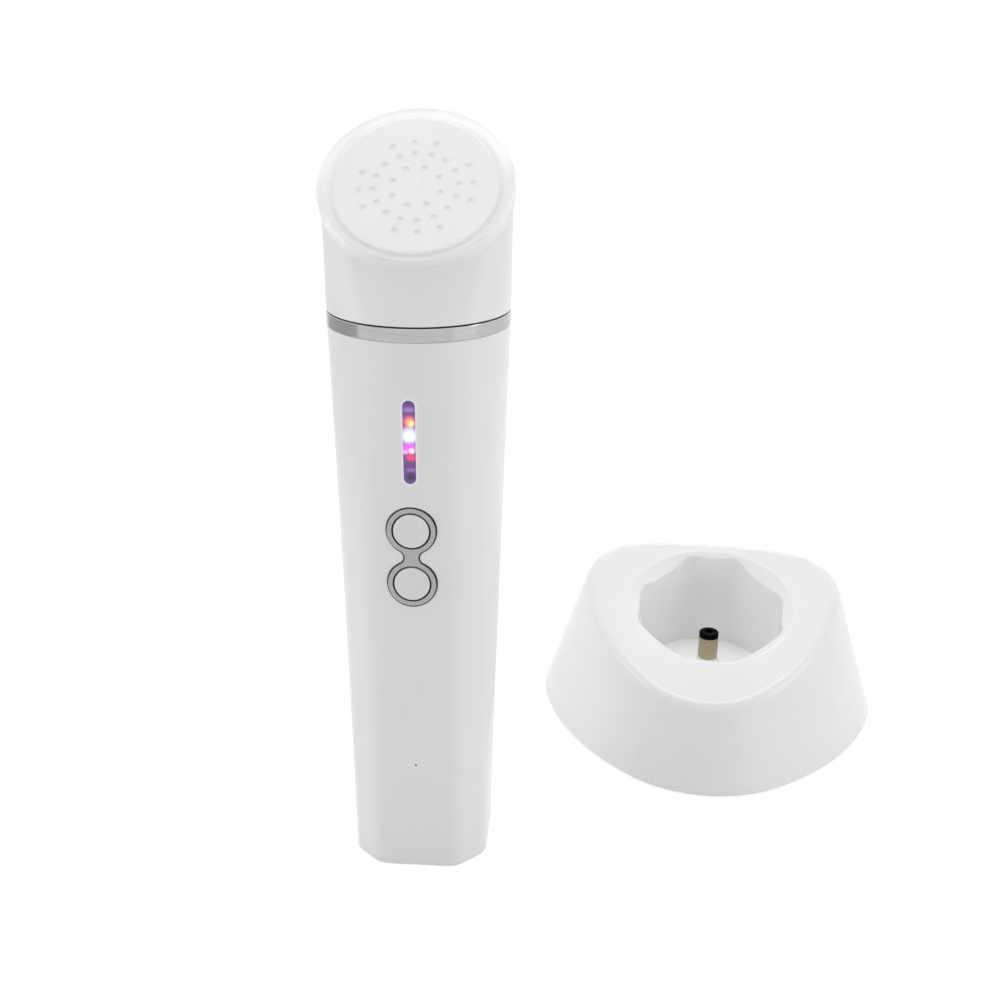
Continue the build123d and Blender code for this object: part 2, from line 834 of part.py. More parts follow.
def make_face_seal():
    inner = plate_radius + seal_gap
    return face.location * tube(inner + seal_thickness, inner, -plate_thickness,
                                seal_height - plate_thickness)


def make_lamp_board():
    board = tube(lamp_board_radius, boss_radius + window_gap, -lamp_board_back,
                 -lamp_board_depth)
    return face.location * board


def make_face_lamps():
    lamps = []
    for at in window_places():
        lamp = block(lamp_side, lamp_side, -lamp_board_depth, lamp_height - lamp_board_depth, at)
        lamp += rod(window_radius - window_gap, lamp_height - lamp_board_depth, -lamp_recess, at)
        lamps.append(face.location * lamp)
    return lamps


def make_thermoelectric_module():
    core_side = module_side - 2 * module_step
    shape = block(core_side, core_side, -module_back, -module_top)
    shape += block(module_side, module_side, -module_top - ceramic_thickness, -module_top)
    shape += block(module_side, module_side, -module_back, -module_back + ceramic_thickness)
    return face.location * shape


def make_thermal_pads():
    pads = []
    for top in (boss_length, module_back):
        pads.append(face.location * block(module_side, module_side, -top - pad_thickness, -top))
    return pads


def make_heat_sink():
    sink = rod(sink_radius, -sink_back, -sink_top)
    for side in (-1, 1):
        ear = rod(sink_ear_radius, -sink_back, -sink_top, (side * sink_ear_x, 0))
        ear += block(sink_ear_x, 2 * sink_ear_radius, -sink_back, -sink_top,
                     (side * sink_ear_x / 2, 0))
        hole = rod(screw_radius + screw_gap, -2 * sink_back, 0, (side * sink_ear_x, 0))
        sink += ear - hole
        sink -= hole
    fin_count = int((2 * sink_radius - sink_fin_pitch) / sink_fin_pitch)
    for step in range(fin_count):
        x = (step - (fin_count - 1) / 2) * sink_fin_pitch
        fin = block(sink_fin_thickness, 2 * sink_radius, -sink_back - sink_fin_length,
                    -sink_back, (x, 0))
        sink += fin & rod(sink_radius, -2 * sink_back, -sink_back)
    return face.location * sink


def make_sink_screws():
    screws = []
    for side in (-1, 1):
        low = -sink_back - screw_head_height
        tip = -lamp_board_back - sink_boss_gap - sink_screw_end
        screws.append(face.location * screw(low, tip, (side * sink_ear_x, 0)))
    return screws


def make_temperature_sensor():
    bead = Rot(0, 90, 0) * Cylinder(sensor_radius, sensor_length)
    y = boss_radius + 2 * sensor_radius
    return face.location * Pos(0, y, -boss_length + sensor_radius) * bead


def make_protective_cap():
    skirt_low = cap_top - cap_height
    inner = cap_radius - cap_wall
    inner_top = cap_top - cap_top_wall
    dish_top = cap_top - cap_dish_depth
    outside = [
        (0, dish_top),
        (cap_dish_radius, dish_top),
        (cap_dish_radius + cap_dish_depth, cap_top),
        (cap_bevel_radius, cap_top),
        (cap_radius - cap_edge, cap_top - cap_bevel_drop),
        (cap_radius, cap_top - cap_bevel_drop - cap_edge),
        (cap_radius, skirt_low),
        (inner, skirt_low),
        (inner, inner_top - cap_bevel_drop),
        (cap_bevel_radius - cap_edge, inner_top),
        (0, inner_top),
    ]
    section = Plane.XZ * Polygon(*outside, align=None)
    cap = revolve(section, axis=Axis.Z)
    rims = [edge for edge in cap.edges().filter_by(GeomType.CIRCLE)
            if edge.radius > cap_bevel_radius - cap_edge / 2 and edge.center().Z > 0]
    return face.location * fillet(rims, cap_edge / 2)


# Dock

def enclosing_centre(first, first_radius, second, second_radius, radius):
    """Centre of the arc that runs from circle to circle, tangent to both, bulging out."""
    ax, ay = first
    bx, by = second
    span = math.hypot(bx - ax, by - ay)
    ux, uy = (bx - ax) / span, (by - ay) / span
    first_reach = radius - first_radius
    second_reach = radius - second_radius
    along = (first_reach**2 - second_reach**2 + span**2) / (2 * span)
    across = math.sqrt(first_reach**2 - along**2)
    return ax + along * ux - across * uy, ay + along * uy + across * ux


def dock_outline(inset, z):
    """The dock's rounded three-cornered outline, drawn in by an inset."""
    rounds = [
        ((0, dock_front_radius - dock_front_reach), dock_front_radius),
        ((dock_corner_x, dock_corner_y), dock_corner_radius),
        ((-dock_corner_x, dock_corner_y), dock_corner_radius),
    ]
    sides = []
    for (a, ra), (b, rb), radius in zip(rounds, rounds[1:] + rounds[:1],
                                        (dock_side_radius, dock_back_radius, dock_side_radius)):
        sides.append((enclosing_centre(a, ra, b, rb, radius), radius, a, b))

    arcs = []
    for index, (centre, radius) in enumerate(rounds):
        before, after = sides[index - 1][0], sides[index][0]
        start, end = direction(centre, before), direction(centre, after)
        arcs.append(CenterArc(centre, radius - inset, start, (end - start) % 360))
        side_centre, side_radius, a, b = sides[index]
        start, end = direction(a, side_centre), direction(b, side_centre)
        arcs.append(CenterArc(side_centre, side_radius - inset, start, (end - start) % 360))
    return Pos(0, 0, z) * make_face(arcs)


def dock_form(inset, top_drop):
    """The dock's drafted form under its slanted top, drawn in by an inset on every side."""
    rise = math.tan(math.radians(dock_draft))
    low = dock_outline(inset, dock_stand)
    high = dock_outline(inset + form_height * rise, dock_stand + form_height)
    form = loft([low, high], ruled=True)
    return form - (dock_top.location * Pos(0, 0, -top_drop) * block(big, big, 0, big))


def well_form(grow, low):
    """The eight-sided well, grown by a wall, from a height to above the dock."""
    rise = math.tan(math.radians(well_draft)) * form_height
    half = well_floor_half + grow
    flat_half = well_flat_half + grow * (math.sqrt(2) - 1)
    radius = well_corner_radius + grow
    high = octagon_face(half + rise, flat_half, radius, low + form_height)
    return loft([octagon_face(half, flat_half, radius, low), high], ruled=True)


def round_well_mouth(shell):
    """Round the edges where the well's walls meet its conical rim, as far as they have room."""
    cones = shell.faces().filter_by(GeomType.CONE)
    rim_face = min(cones, key=lambda f: math.hypot(f.center().X, f.center().Y))
    edges = [edge for edge in rim_face.edges()
             if edge.geom_type not in (GeomType.CIRCLE, GeomType.LINE)]
    for share in mouth_edge_shares:
        try:
            return fillet(edges, share * well_mouth_edge)
        except ValueError:
            continue
    return fillet(edges, least_mouth_share * well_mouth_edge)


def make_dock_shell():
    outer = dock_form(0, 0)
    top_edges = [edge for edge in outer.faces().sort_by(Axis.Z)[-1].edges()]
    outer = fillet(top_edges, dock_edge)
    outer = chamfer(outer.faces().sort_by(Axis.Z)[0].edges(), dock_foot_edge)
    shell = outer - dock_form(dock_wall / math.cos(math.radians(dock_draft)), dock_wall)
    shell += well_form(well_wall, well_floor_low_z) & outer
    for at in dock_boss_places:
        shell += rod(dock_boss_radius, dock_base_top_z, big, at) & dock_form(dock_wall / 2,
                                                                            dock_wall / 2)
    shell -= well_form(0, well_floor_z)
    cone = Cone(rim_radius - rim_width, rim_radius, rim_depth,
                align=(Align.CENTER, Align.CENTER, Align.MAX))
    shell -= dock_top.location * (cone + rod(rim_radius, 0, dock_edge))
    rim = [edge for edge in shell.edges().filter_by(GeomType.CIRCLE)
           if abs(edge.radius - rim_radius) < contact_gap]
    shell = fillet(rim, rim_edge)
    shell = round_well_mouth(shell)
    shell -= rod(collar_radius + collar_gap, 0, well_floor_z + cut_over)
    for side in (-1, 1):
        shell -= rod(screw_radius + screw_gap, 0, well_floor_low_z + holder_screw_bite + screw_gap,
                     (side * holder_ear_x, 0))
    for at in dock_boss_places:
        shell -= rod(screw_radius + screw_gap, 0,
                     dock_base_top_z + dock_screw_bite + screw_end_gap, at)
    inlet_hole = Rot(-90, 0, 0) * rod(inlet_radius + inlet_gap, inlet_back_y() - cut_over, big)
    return shell - Pos(0, 0, inlet_z) * inlet_hole


def dock_back_reach(z):
    """How far back the dock's outer wall reaches at a height."""
    centre = enclosing_centre((dock_corner_x, dock_corner_y), dock_corner_radius,
                              (-dock_corner_x, dock_corner_y), dock_corner_radius,
                              dock_back_radius)
    rise = math.tan(math.radians(dock_draft))
    return centre[1] + dock_back_radius - (z - dock_stand) * rise


def inlet_front_y():
    return dock_back_reach(inlet_z + inlet_radius) - inlet_recess


def inlet_back_y():
    return inlet_front_y() - inlet_length


def make_dock_base():
    outline = dock_outline(dock_wall / math.cos(math.radians(dock_draft)) + dock_base_gap
                           + dock_base_top_z * math.tan(math.radians(dock_draft)), 0)
    base = slab(outline, dock_base_low_z, dock_base_top_z)
    saddle_y = inlet_front_y() - saddle_setback - saddle_length / 2
    saddle = block(saddle_width, saddle_length, dock_base_low_z, inlet_z, (0, saddle_y))
    seat = Rot(-90, 0, 0) * rod(inlet_radius + saddle_gap, 0, big)
    base += saddle - Pos(0, 0, inlet_z) * seat
    for at in dock_foot_places:
        base -= rod(dock_foot_radius + dock_foot_gap, 0, dock_foot_height, at)
    for at in dock_boss_places:
        base -= rod(screw_radius + screw_gap, 0, dock_base_top_z + cut_over, at)
        base -= rod(screw_head_radius + screw_gap, 0, dock_base_low_z + screw_head_height, at)
    return base


def make_dock_screws():
    tip = dock_base_top_z + dock_screw_bite
    return [screw(dock_base_low_z, tip, at) for at in dock_boss_places]


def make_dock_feet():
    feet = []
    for at in dock_foot_places:
        foot = rod(dock_foot_radius, 0, dock_foot_height, at)
        feet.append(chamfer(foot.edges().group_by(Axis.Z)[0], dock_foot_edge_size))
    return feet


def make_plug_holder():
    holder = rod(collar_radius, holder_low_z, collar_top_z)
    holder += rod(holder_flange_radius, holder_low_z, well_floor_low_z)
    for side in (-1, 1):
        at = (side * holder_ear_x, 0)
        ear = rod(holder_ear_radius, holder_low_z, well_floor_low_z, at)
        ear += block(holder_ear_x, 2 * holder_ear_radius, holder_low_z, well_floor_low_z,
                     (side * holder_ear_x / 2, 0))
        holder += ear
        holder -= rod(screw_radius + screw_gap, 0, big, at)
    return holder - rod(plug_crimp_radius + plug_layer_gap, 0, big)


def make_holder_screws():
    tip = well_floor_low_z + holder_screw_bite
    return [screw(holder_low_z - screw_head_height, tip, (side * holder_ear_x, 0))
            for side in (-1, 1)]


def make_plug_sleeve():
    sleeve = rod(plug_crimp_radius, holder_low_z, collar_top_z)
    sleeve += rod(plug_radius, collar_top_z, plug_metal_top_z)
    return sleeve - rod(plug_radius - plug_sleeve_wall, 0, big)


def make_plug_tip():
    outer = plug_radius - plug_sleeve_wall - plug_layer_gap
    inner = plug_contact_radius + plug_layer_gap
    tip = tube(outer, inner, holder_low_z, plug_metal_top_z)
    crown = rod(plug_radius, plug_metal_top_z, plug_top_z)
    crown = chamfer(crown.edges().group_by(Axis.Z)[-1], plug_tip_edge)
    tip += crown - rod(inner, 0, plug_metal_top_z + plug_layer_gap)
    return tip - rod(plug_contact_radius - plug_contact_wall, 0, big)


def make_plug_contact():
    return tube(plug_contact_radius, plug_contact_radius - plug_contact_wall, holder_low_z,
                plug_top_z - plug_tip_length)


def make_dock_inlet():
    shape = rod(inlet_radius, inlet_back_y(), inlet_front_y())
    shape -= rod(socket_bore_radius, inlet_front_y() - inlet_bore_length, big)
    shape -= rod(pin_radius + screw_gap, 0, big)
    return Pos(0, 0, inlet_z) * Rot(-90, 0, 0) * shape


def make_inlet_pin():
    pin = rod(pin_radius, inlet_back_y(), inlet_front_y() - inlet_pin_setback)
    return Pos(0, 0, inlet_z) * Rot(-90, 0, 0) * pin


# Leads

def make_lead(name, points, radius):
    """A lead along straight runs joined by tangent arcs. It prints its bends."""
    runs = [(b - a).length for a, b in zip(points, points[1:])]
    radii = []
    for a, b, c, before, after in zip(points, points[1:], points[2:], runs, runs[1:]):
        half_turn = math.radians((b - a).get_angle(c - b)) / 2
        radii.append(bend_share * min(before, after) / math.tan(half_turn))
    path = FilletPolyline(*points, radius=radii)
    shape = sweep(Plane(origin=path @ 0, z_dir=path % 0) * Circle(radius), path=path)
    expected = math.pi * radius**2 * path.length
    print(name, "bend radii", [round(r, 1) for r in radii], "volume",
          round(shape.volume / expected, 4))
    return shape


def point_on(plane, x, y, z):
    return plane.from_local_coords(Vector(x, y, z))


def make_socket_lead():
    start = Vector(0, 0, socket_bore_end + socket_back_wall + pin_tail)
    end = point_on(front, 0, board_low_s, -(board_depth + board_back) / 2)
    near = point_on(front, 0, board_low_s - socket_lead_rejoin, -(board_depth + board_back) / 2)
    turn_at = start + Vector(0, 0, socket_lead_rise)
    return make_lead("socket_lead", [start, turn_at, near, end], thin_lead_radius)


def make_battery_lead():
    start = Vector(0, cell_y, cell_high_z + tab_thickness)
    turn_at = start + Vector(0, 0, battery_lead_rise)
    level = turn_at.Z + battery_lead_step
    end = point_on(front, 0, level, -board_back)
    near = point_on(front, 0, level, -board_back - battery_lead_reach)
    return make_lead("battery_lead", [start, turn_at, near, end], thin_lead_radius)


def make_motor_lead():
    start = Vector(motor_lead_x, motor_y, web_low_z - motor_end_gap - motor_length)
    turn_at = start - Vector(0, 0, motor_lead_drop)
    level = turn_at.Z + motor_lead_step
    end = point_on(front, motor_lead_x, level, -board_back)
    near = point_on(front, motor_lead_x, level, -board_back - motor_lead_reach)
    return make_lead("motor_lead", [start, turn_at, near, end], thin_lead_radius)


def make_lamp_lead():
    x = -head_lead_x
    start = point_on(front, x, board_high_s, -(board_depth + board_back) / 2)
    middle = point_on(front, x, board_high_s + head_lead_rise, -(board_depth + board_back) / 2)
    near = point_on(face, x, lamp_lead_y, -lamp_board_back - head_lead_reach)
    end = point_on(face, x, lamp_lead_y, -lamp_board_back)
    return make_lead("lamp_lead", [start, middle, near, end], thin_lead_radius)


def make_module_lead():
    x = head_lead_x
    depth = -(module_top + module_back) / 2
    side_y = module_step - module_side / 2
    start = point_on(front, x, board_high_s, -(board_depth + board_back) / 2)
    middle = point_on(front, x, board_high_s + head_lead_rise, -(board_depth + board_back) / 2)
    near = point_on(face, x, side_y - head_lead_reach, depth)
    end = point_on(face, x, side_y, depth)
    return make_lead("module_lead", [start, middle, near, end], thin_lead_radius)


def make_dock_lead():
    run_z = dock_base_top_z + dock_lead_height
    inlet_end = inlet_back_y()
    points = [
        Vector(0, inlet_end, inlet_z),
        Vector(0, inlet_end * dock_lead_level, inlet_z),
        Vector(0, inlet_end * dock_lead_landed, run_z),
        Vector(0, 0, run_z),
        Vector(0, 0, holder_low_z),
    ]
    return make_lead("dock_lead", points, lead_radius)


handset_nodes = {
    "body_shell": make_body_shell,
    "base_cap": make_base_cap,
    "base_screws": make_base_screws,
    "charging_socket": make_charging_socket,
    "socket_pin": make_socket_pin,
    "button_bezel": make_button_bezel,
    "upper_button": lambda: make_button(upper_button_s),
    "lower_button": lambda: make_button(lower_button_s),
    "upper_plunger": lambda: make_plunger(upper_button_s),
    "lower_plunger": lambda: make_plunger(lower_button_s),
    "upper_switch": lambda: make_switch(upper_button_s),
    "lower_switch": lambda: make_switch(lower_button_s),
    "indicator_lens": make_indicator_lens,
    "indicator_lamps": make_indicator_lamps,
    "main_board": make_main_board,
    "board_screws": make_board_screws,
    "board_chips": make_board_chips,
    "battery_cell": make_battery_cell,
    "battery_tabs": make_battery_tabs,
    "battery_tray": make_battery_tray,
    "neck_band": make_neck_band,
    "neck_frame": make_neck_frame,
    "head_screws": make_head_screws,
    "vibration_motor": make_vibration_motor,
    "motor_sleeve": make_motor_sleeve,
    "motor_shaft": make_motor_shaft,
    "eccentric_weight": make_eccentric_weight,
    "head_shell": make_head_shell,
    "treatment_plate": make_treatment_plate,
    "face_seal": make_face_seal,
    "lamp_board": make_lamp_board,
    "face_lamps": make_face_lamps,
    "thermoelectric_module": make_thermoelectric_module,
    "thermal_pads": make_thermal_pads,
    "heat_sink": make_heat_sink,
    "sink_screws": make_sink_screws,
    "temperature_sensor": make_temperature_sensor,
    "protective_cap": make_protective_cap,
    "socket_lead": make_socket_lead,
    "battery_lead": make_battery_lead,
    "motor_lead": make_motor_lead,
    "lamp_lead": make_lamp_lead,
    "module_lead": make_module_lead,
}

dock_nodes = {
    "dock_shell": make_dock_shell,
    "dock_base": make_dock_base,
    "dock_screws": make_dock_screws,
    "dock_feet": make_dock_feet,
    "plug_holder": make_plug_holder,
    "holder_screws": make_holder_screws,
    "plug_sleeve": make_plug_sleeve,
    "plug_tip": make_plug_tip,
    "plug_contact": make_plug_contact,
    "dock_inlet": make_dock_inlet,
    "inlet_pin": make_inlet_pin,
    "dock_lead": make_dock_lead,
}


def write_node(name, made, place):
    """Place a node's solids and write them to one file."""
    shapes = made if isinstance(made, list) else [made]
    solids = [solid for shape in shapes for solid in shape.solids()]
    placed = [place * solid for solid in solids]
    whole = placed[0] if len(placed) == 1 else Compound(children=placed)
    export_step(whole, "parts/" + name + ".step")


os.makedirs("parts", exist_ok=True)
for node, make in handset_nodes.items():
    write_node(node, make(), Pos(0, 0, 0))
for node, make in dock_nodes.items():
    write_node(node, make(), dock_place)
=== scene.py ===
import math

import bpy
from mathutils import Matrix, Vector

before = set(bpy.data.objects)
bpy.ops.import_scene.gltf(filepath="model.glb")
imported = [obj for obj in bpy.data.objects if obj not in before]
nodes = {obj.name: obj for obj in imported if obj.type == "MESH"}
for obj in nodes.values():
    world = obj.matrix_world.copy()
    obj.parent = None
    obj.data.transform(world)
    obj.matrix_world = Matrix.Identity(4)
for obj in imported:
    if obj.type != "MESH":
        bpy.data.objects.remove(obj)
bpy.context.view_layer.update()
scene = bpy.context.scene
scene.view_settings.view_transform = "Standard"

MM = 0.001
WHITE = (1.0, 1.0, 1.0, 1.0)

# Camera: place (metres), turns (radians), lens and sensor (millimetres), reach (metres)
CAMERA_AT = Vector((35.654, -281.765, 197.345)) * MM
CAMERA_PITCH = 0.3664
CAMERA_YAW = -0.0626
CAMERA_ROLL = 0.0094
CAMERA_LENS = 47.802
CAMERA_SENSOR = 36.0
CAMERA_NEAR = 0.01
CAMERA_FAR = 20.0

# Room: the level of its light, which falls smoothly towards the dark side
ROOM_DARK = 0.58
ROOM_BRIGHT = 0.86
ROOM_TURN = (-0.3, 1.0)
ROOM_SEEN = 1.0
DARK_SIDE = Vector((-0.25, -1.0, 0.0)).normalized()

# Floor: its half side (metres), its tone for the light it gives back, and its tone and glow
# where it is seen
FLOOR_REACH = 40.0
FLOOR_BOUNCE = 0.80
FLOOR_SHADOW = 0.30
FLOOR_GLOW = 0.79

# Soft lamps: place, the point each faces, its two sides (metres) and its power (watts)
SOFT_LAMPS = {
    "top_light": ((0.02, 0.12, 0.75), (0.04, 0.03, 0.0), (0.7, 0.6), 0.6),
    "back_light": ((0.12, 0.62, 0.42), (0.075, 0.04, 0.03), (0.5, 0.05), 0.35),
    "left_light": ((-0.62, -0.10, 0.34), (0.02, 0.02, 0.07), (0.35, 0.5), 0.75),
    "right_light": ((0.74, -0.08, 0.34), (0.05, 0.03, 0.07), (0.35, 0.5), 0.75),
}

# Narrow lamp straight above the dock's well (metres and watts)
WELL_LAMP_AT = Vector((0.0744, 0.0633, 0.5))
WELL_LAMP_SIZE = 0.01
WELL_REACH = 0.021
WELL_BLEND = 0.5
WELL_POWER = 2.2

# Cards that only reflections see (metres)
CARD_REACH = 0.26
CARD_FOOT = 0.001
CARD_HEIGHT = 0.11
STRIP_X = (-0.12, 0.40)
STRIP_Y = (0.10, 0.20)
STRIP_Z = 0.6

# Handset: its front plane and the lit bar on it (millimetres)
FRONT_Y = -15.9
FRONT_LEAN = math.atan2(4.0, 130.1)
BAR_MIDDLE = 108.6
BAR_LENGTH = 18.6
BAR_WIDTH = 2.6

# Light that the bar spills on the shell: strength, colour, the distances from the bar's
# middle line between which it fades, and the depth where it stops (millimetres)
SPILL = 0.16
SPILL_COLOUR = (236, 210, 255)
SPILL_FADE = (1.3, 2.0)
SPILL_DEPTH = (-17.0, -16.0)

# Spans of the noise textures over which a tone or roughness goes from one end to the other
DRIFT_SPAN = (0.35, 0.65)
FINE_SPAN = (0.3, 0.7)
CLOUD_SPAN = (0.4, 0.7)

# Noise scales (per metre), the depth of the drift (millimetres), how much the cloud darkens
# a metal, and how far the roughness goes below and above its value
DRIFT_SCALE = 45.0
DRIFT_DEPTH = 0.02
CLOUD_SCALE = 90.0
CLOUD_SHARE = 0.25
PLASTIC_ROUGH = (0.04, 0.05)
METAL_ROUGH = (0.05, 0.07)

# Bezel: the lean over which its metal turns to the painted dark reflection on its sides, and
# the colour of that painted reflection
BEZEL_REFLECTION_SPAN = (0.85, 0.95)
BEZEL_PAINTED_REFLECTION_COLOUR = (64, 64, 64)

# Printed board: its weave (per metre), the greys that darken it, and its threads' gap
WEAVE_SCALE = (260.0, 260.0, 260.0)
WEAVE_GREYS = {"Color1": 1.0, "Color2": 0.8, "Mortar": 0.55}
WEAVE_GAP = 0.06

# Cap: its noise scales (per metre), tones, range of roughness, depth (millimetres), how clear
# it is, how much it bends light, and the faint glow that stands for light inside it
CAP_FINE_SCALE = 2600.0
CAP_DRIFT_SCALE = 60.0
CAP_COLOUR = (252, 252, 251)
CAP_DARKER = (249, 249, 248)
CAP_ROUGH = (0.31, 0.37)
CAP_DEPTH = 0.001
CAP_CLEAR = 0.72
CAP_BEND = 1.25
CAP_GLOW = 0.02

# Lens of the lit bar: its violet, the radii between which a spot fades, the plastic's own
# two tones, its noise scale (per metre) and its range of roughness
LENS_VIOLET = (90, 60, 118)
SPOT_FADE = (0.25, 1.1)
LENS_TONES = ((0.05, 0.03, 0.08, 1.0), (0.07, 0.045, 0.11, 1.0))
LENS_SCALE = 900.0
LENS_ROUGH = (0.12, 0.2)

# The curve between a colour as it is seen and as the shader wants it
CURVE_FULL = 255.0
CURVE_KNEE = 0.04045
CURVE_SLOPE = 12.92
CURVE_SHIFT = 0.055
CURVE_POWER = 2.4


def linear(value):
    """A colour written as it is seen, 0 to 255, as the shader wants it."""
    out = []
    for part in value:
        share = part / CURVE_FULL
        if share <= CURVE_KNEE:
            out.append(share / CURVE_SLOPE)
        else:
            out.append(((share + CURVE_SHIFT) / (1 + CURVE_SHIFT)) ** CURVE_POWER)
    return tuple(out) + (1.0,)


class Tree:
    """A node tree with short ways to add and join nodes."""

    def __init__(self, tree):
        self.tree = tree

    def add(self, kind, **settings):
        node = self.tree.nodes.new(kind)
        for key, value in settings.items():
            setattr(node, key, value)
        return node

    def feed(self, socket, value):
        if isinstance(value, bpy.types.NodeSocket):
            self.tree.links.new(value, socket)
        else:
            socket.default_value = value

    def maths(self, operation, first, second=0.0):
        node = self.add("ShaderNodeMath", operation=operation)
        for socket, value in zip(node.inputs, (first, second)):
            self.feed(socket, value)
        return node.outputs[0]

    def ranged(self, value, span, out_low, out_high, smooth=False):
        node = self.add("ShaderNodeMapRange")
        node.interpolation_type = "SMOOTHSTEP" if smooth else "LINEAR"
        for socket, part in zip(node.inputs, (value, *span, out_low, out_high)):
            self.feed(socket, part)
        return node.outputs[0]

    def split(self, unseen, seen, out):
        """Join one shader for diffuse light and one for rays that show what they meet."""
        path = self.add("ShaderNodeLightPath").outputs
        looked = self.maths("MAXIMUM", path["Is Camera Ray"], path["Is Glossy Ray"])
        looked = self.maths("MAXIMUM", looked, path["Is Transmission Ray"])
        choice = self.add("ShaderNodeMixShader")
        for socket, value in zip(choice.inputs, (looked, unseen, seen)):
            self.feed(socket, value)
        self.feed(out, choice.outputs[0])


class Paint(Tree):
    """A node material."""

    def __init__(self, name):
        self.material = bpy.data.materials.new(name)
        self.material.use_nodes = True
        super().__init__(self.material.node_tree)
        self.shader = self.tree.nodes["Principled BSDF"]
        self.place = None

    def bared(self):
        """Take the Principled shader out, and give the socket for another one."""
        self.tree.nodes.remove(self.shader)
        return self.tree.nodes["Material Output"].inputs[0]

    def join(self, **sockets):
        """Set the Principled shader's sockets, or feed them."""
        for key, value in sockets.items():
            self.feed(self.shader.inputs[key.replace("_", " ")], value)

    def base_tone(self):
        """What feeds the base colour so far."""
        return self.shader.inputs["Base Color"].links[0].from_socket

    def coordinates(self):
        if self.place is None:
            self.place = self.add("ShaderNodeTexCoord").outputs["Object"]
        return self.place

    def stretched(self, scale):
        node = self.add("ShaderNodeMapping")
        self.feed(node.inputs["Vector"], self.coordinates())
        self.feed(node.inputs["Scale"], scale)
        return node.outputs[0]

    def noise(self, scale, detail=3.0, roughness=0.55, vector=None):
        node = self.add("ShaderNodeTexNoise")
        self.feed(node.inputs["Vector"], vector or self.coordinates())
        self.feed(node.inputs["Scale"], scale)
        self.feed(node.inputs["Detail"], detail)
        self.feed(node.inputs["Roughness"], roughness)
        return node.outputs["Fac"]

    def mixed(self, share, first, second, how="MIX"):
        node = self.add("ShaderNodeMix", data_type="RGBA", blend_type=how)
        colours = [socket for socket in node.inputs if socket.type == "RGBA"]
        self.feed(node.inputs[0], share)
        self.feed(colours[0], first)
        self.feed(colours[1], second)
        return next(socket for socket in node.outputs if socket.type == "RGBA")

    def relief(self, height, distance, strength=1.0, under=None):
        """Bump whose height is given in millimetres."""
        node = self.add("ShaderNodeBump")
        self.feed(node.inputs["Height"], height)
        self.feed(node.inputs["Distance"], distance * MM)
        self.feed(node.inputs["Strength"], strength)
        if under is not None:
            self.feed(node.inputs["Normal"], under)
        return node.outputs[0]


def moulded(name, colour, darker, roughness, grain, grain_depth):
    """Injection-moulded plastic: slow tone drift, fine spark texture and uneven gloss."""
    paint = Paint(name)
    drift = paint.noise(DRIFT_SCALE, detail=2.0)
    fine = paint.noise(grain, detail=4.0, roughness=0.6)
    share = paint.ranged(drift, DRIFT_SPAN, 0.0, 1.0)
    bump = paint.relief(fine, grain_depth)
    below, above = PLASTIC_ROUGH
    paint.join(
        Base_Color=paint.mixed(share, linear(colour), linear(darker)),
        Roughness=paint.ranged(fine, FINE_SPAN, roughness - below, roughness + above),
        Normal=paint.relief(drift, DRIFT_DEPTH, strength=0.4, under=bump),
        IOR=1.5)
    return paint


def metal(name, colour, darker, roughness, stretch, scratch_depth):
    """Metal with fine lines along one way and a slightly clouded tone."""
    paint = Paint(name)
    lines = paint.noise(1.0, detail=4.0, roughness=0.65, vector=paint.stretched(stretch))
    cloud = paint.noise(CLOUD_SCALE)
    share = paint.ranged(lines, FINE_SPAN, 0.0, 1.0)
    tone = paint.mixed(share, linear(colour), linear(darker))
    share = paint.ranged(cloud, CLOUD_SPAN, 0.0, CLOUD_SHARE)
    below, above = METAL_ROUGH
    paint.join(
        Base_Color=paint.mixed(share, tone, linear(darker)),
        Roughness=paint.ranged(lines, FINE_SPAN, roughness - below, roughness + above),
        Normal=paint.relief(lines, scratch_depth),
        Metallic=1.0)
    return paint


def dress(paint, *names):
    """Give CAD nodes one material in place of what they had."""
    for name in names:
        data = nodes[name].data
        data.materials.clear()
        data.materials.append(paint.material)


def hang(name, data):
    """A new object in the scene."""
    item = bpy.data.objects.new(name, data)
    scene.collection.objects.link(item)
    return item


def flat(name, corners):
    """A flat piece with four corners."""
    mesh = bpy.data.meshes.new(name)
    mesh.from_pydata(corners, [], [(0, 1, 2, 3)])
    return hang(name, mesh)


# World: white where it is seen, and dimmer from the dark side for the light it gives
scene.world = bpy.data.worlds.new("room")
scene.world.use_nodes = True
room = Tree(scene.world.node_tree)
room.tree.nodes.clear()
facing = room.add("ShaderNodeVectorMath", operation="DOT_PRODUCT")
room.feed(facing.inputs[0], room.add("ShaderNodeTexCoord").outputs["Generated"])
room.feed(facing.inputs[1], DARK_SIDE)
given_level = room.ranged(
    facing.outputs["Value"], ROOM_TURN, ROOM_BRIGHT, ROOM_DARK, smooth=True)
room_lights = []
for level in (given_level, ROOM_SEEN):
    background = room.add("ShaderNodeBackground")
    room.feed(background.inputs["Color"], WHITE)
    room.feed(background.inputs["Strength"], level)
    room_lights.append(background.outputs[0])
room.split(*room_lights, room.add("ShaderNodeOutputWorld").inputs[0])

# Lamps
for name, (at, aim, sides, power) in SOFT_LAMPS.items():
    light = bpy.data.lights.new(name, "AREA")
    light.shape = "RECTANGLE"
    light.size, light.size_y = sides
    light.energy = power
    lamp = hang(name, light)
    lamp.location = at
    lamp.rotation_euler = (Vector(aim) - Vector(at)).to_track_quat("-Z", "Y").to_euler()

beam = bpy.data.lights.new("well_light", "SPOT")
beam.energy = WELL_POWER
beam.spot_size = 2 * math.atan2(WELL_REACH, WELL_LAMP_AT.z)
beam.spot_blend = WELL_BLEND
beam.shadow_soft_size = WELL_LAMP_SIZE
hang("well_light", beam).location = WELL_LAMP_AT


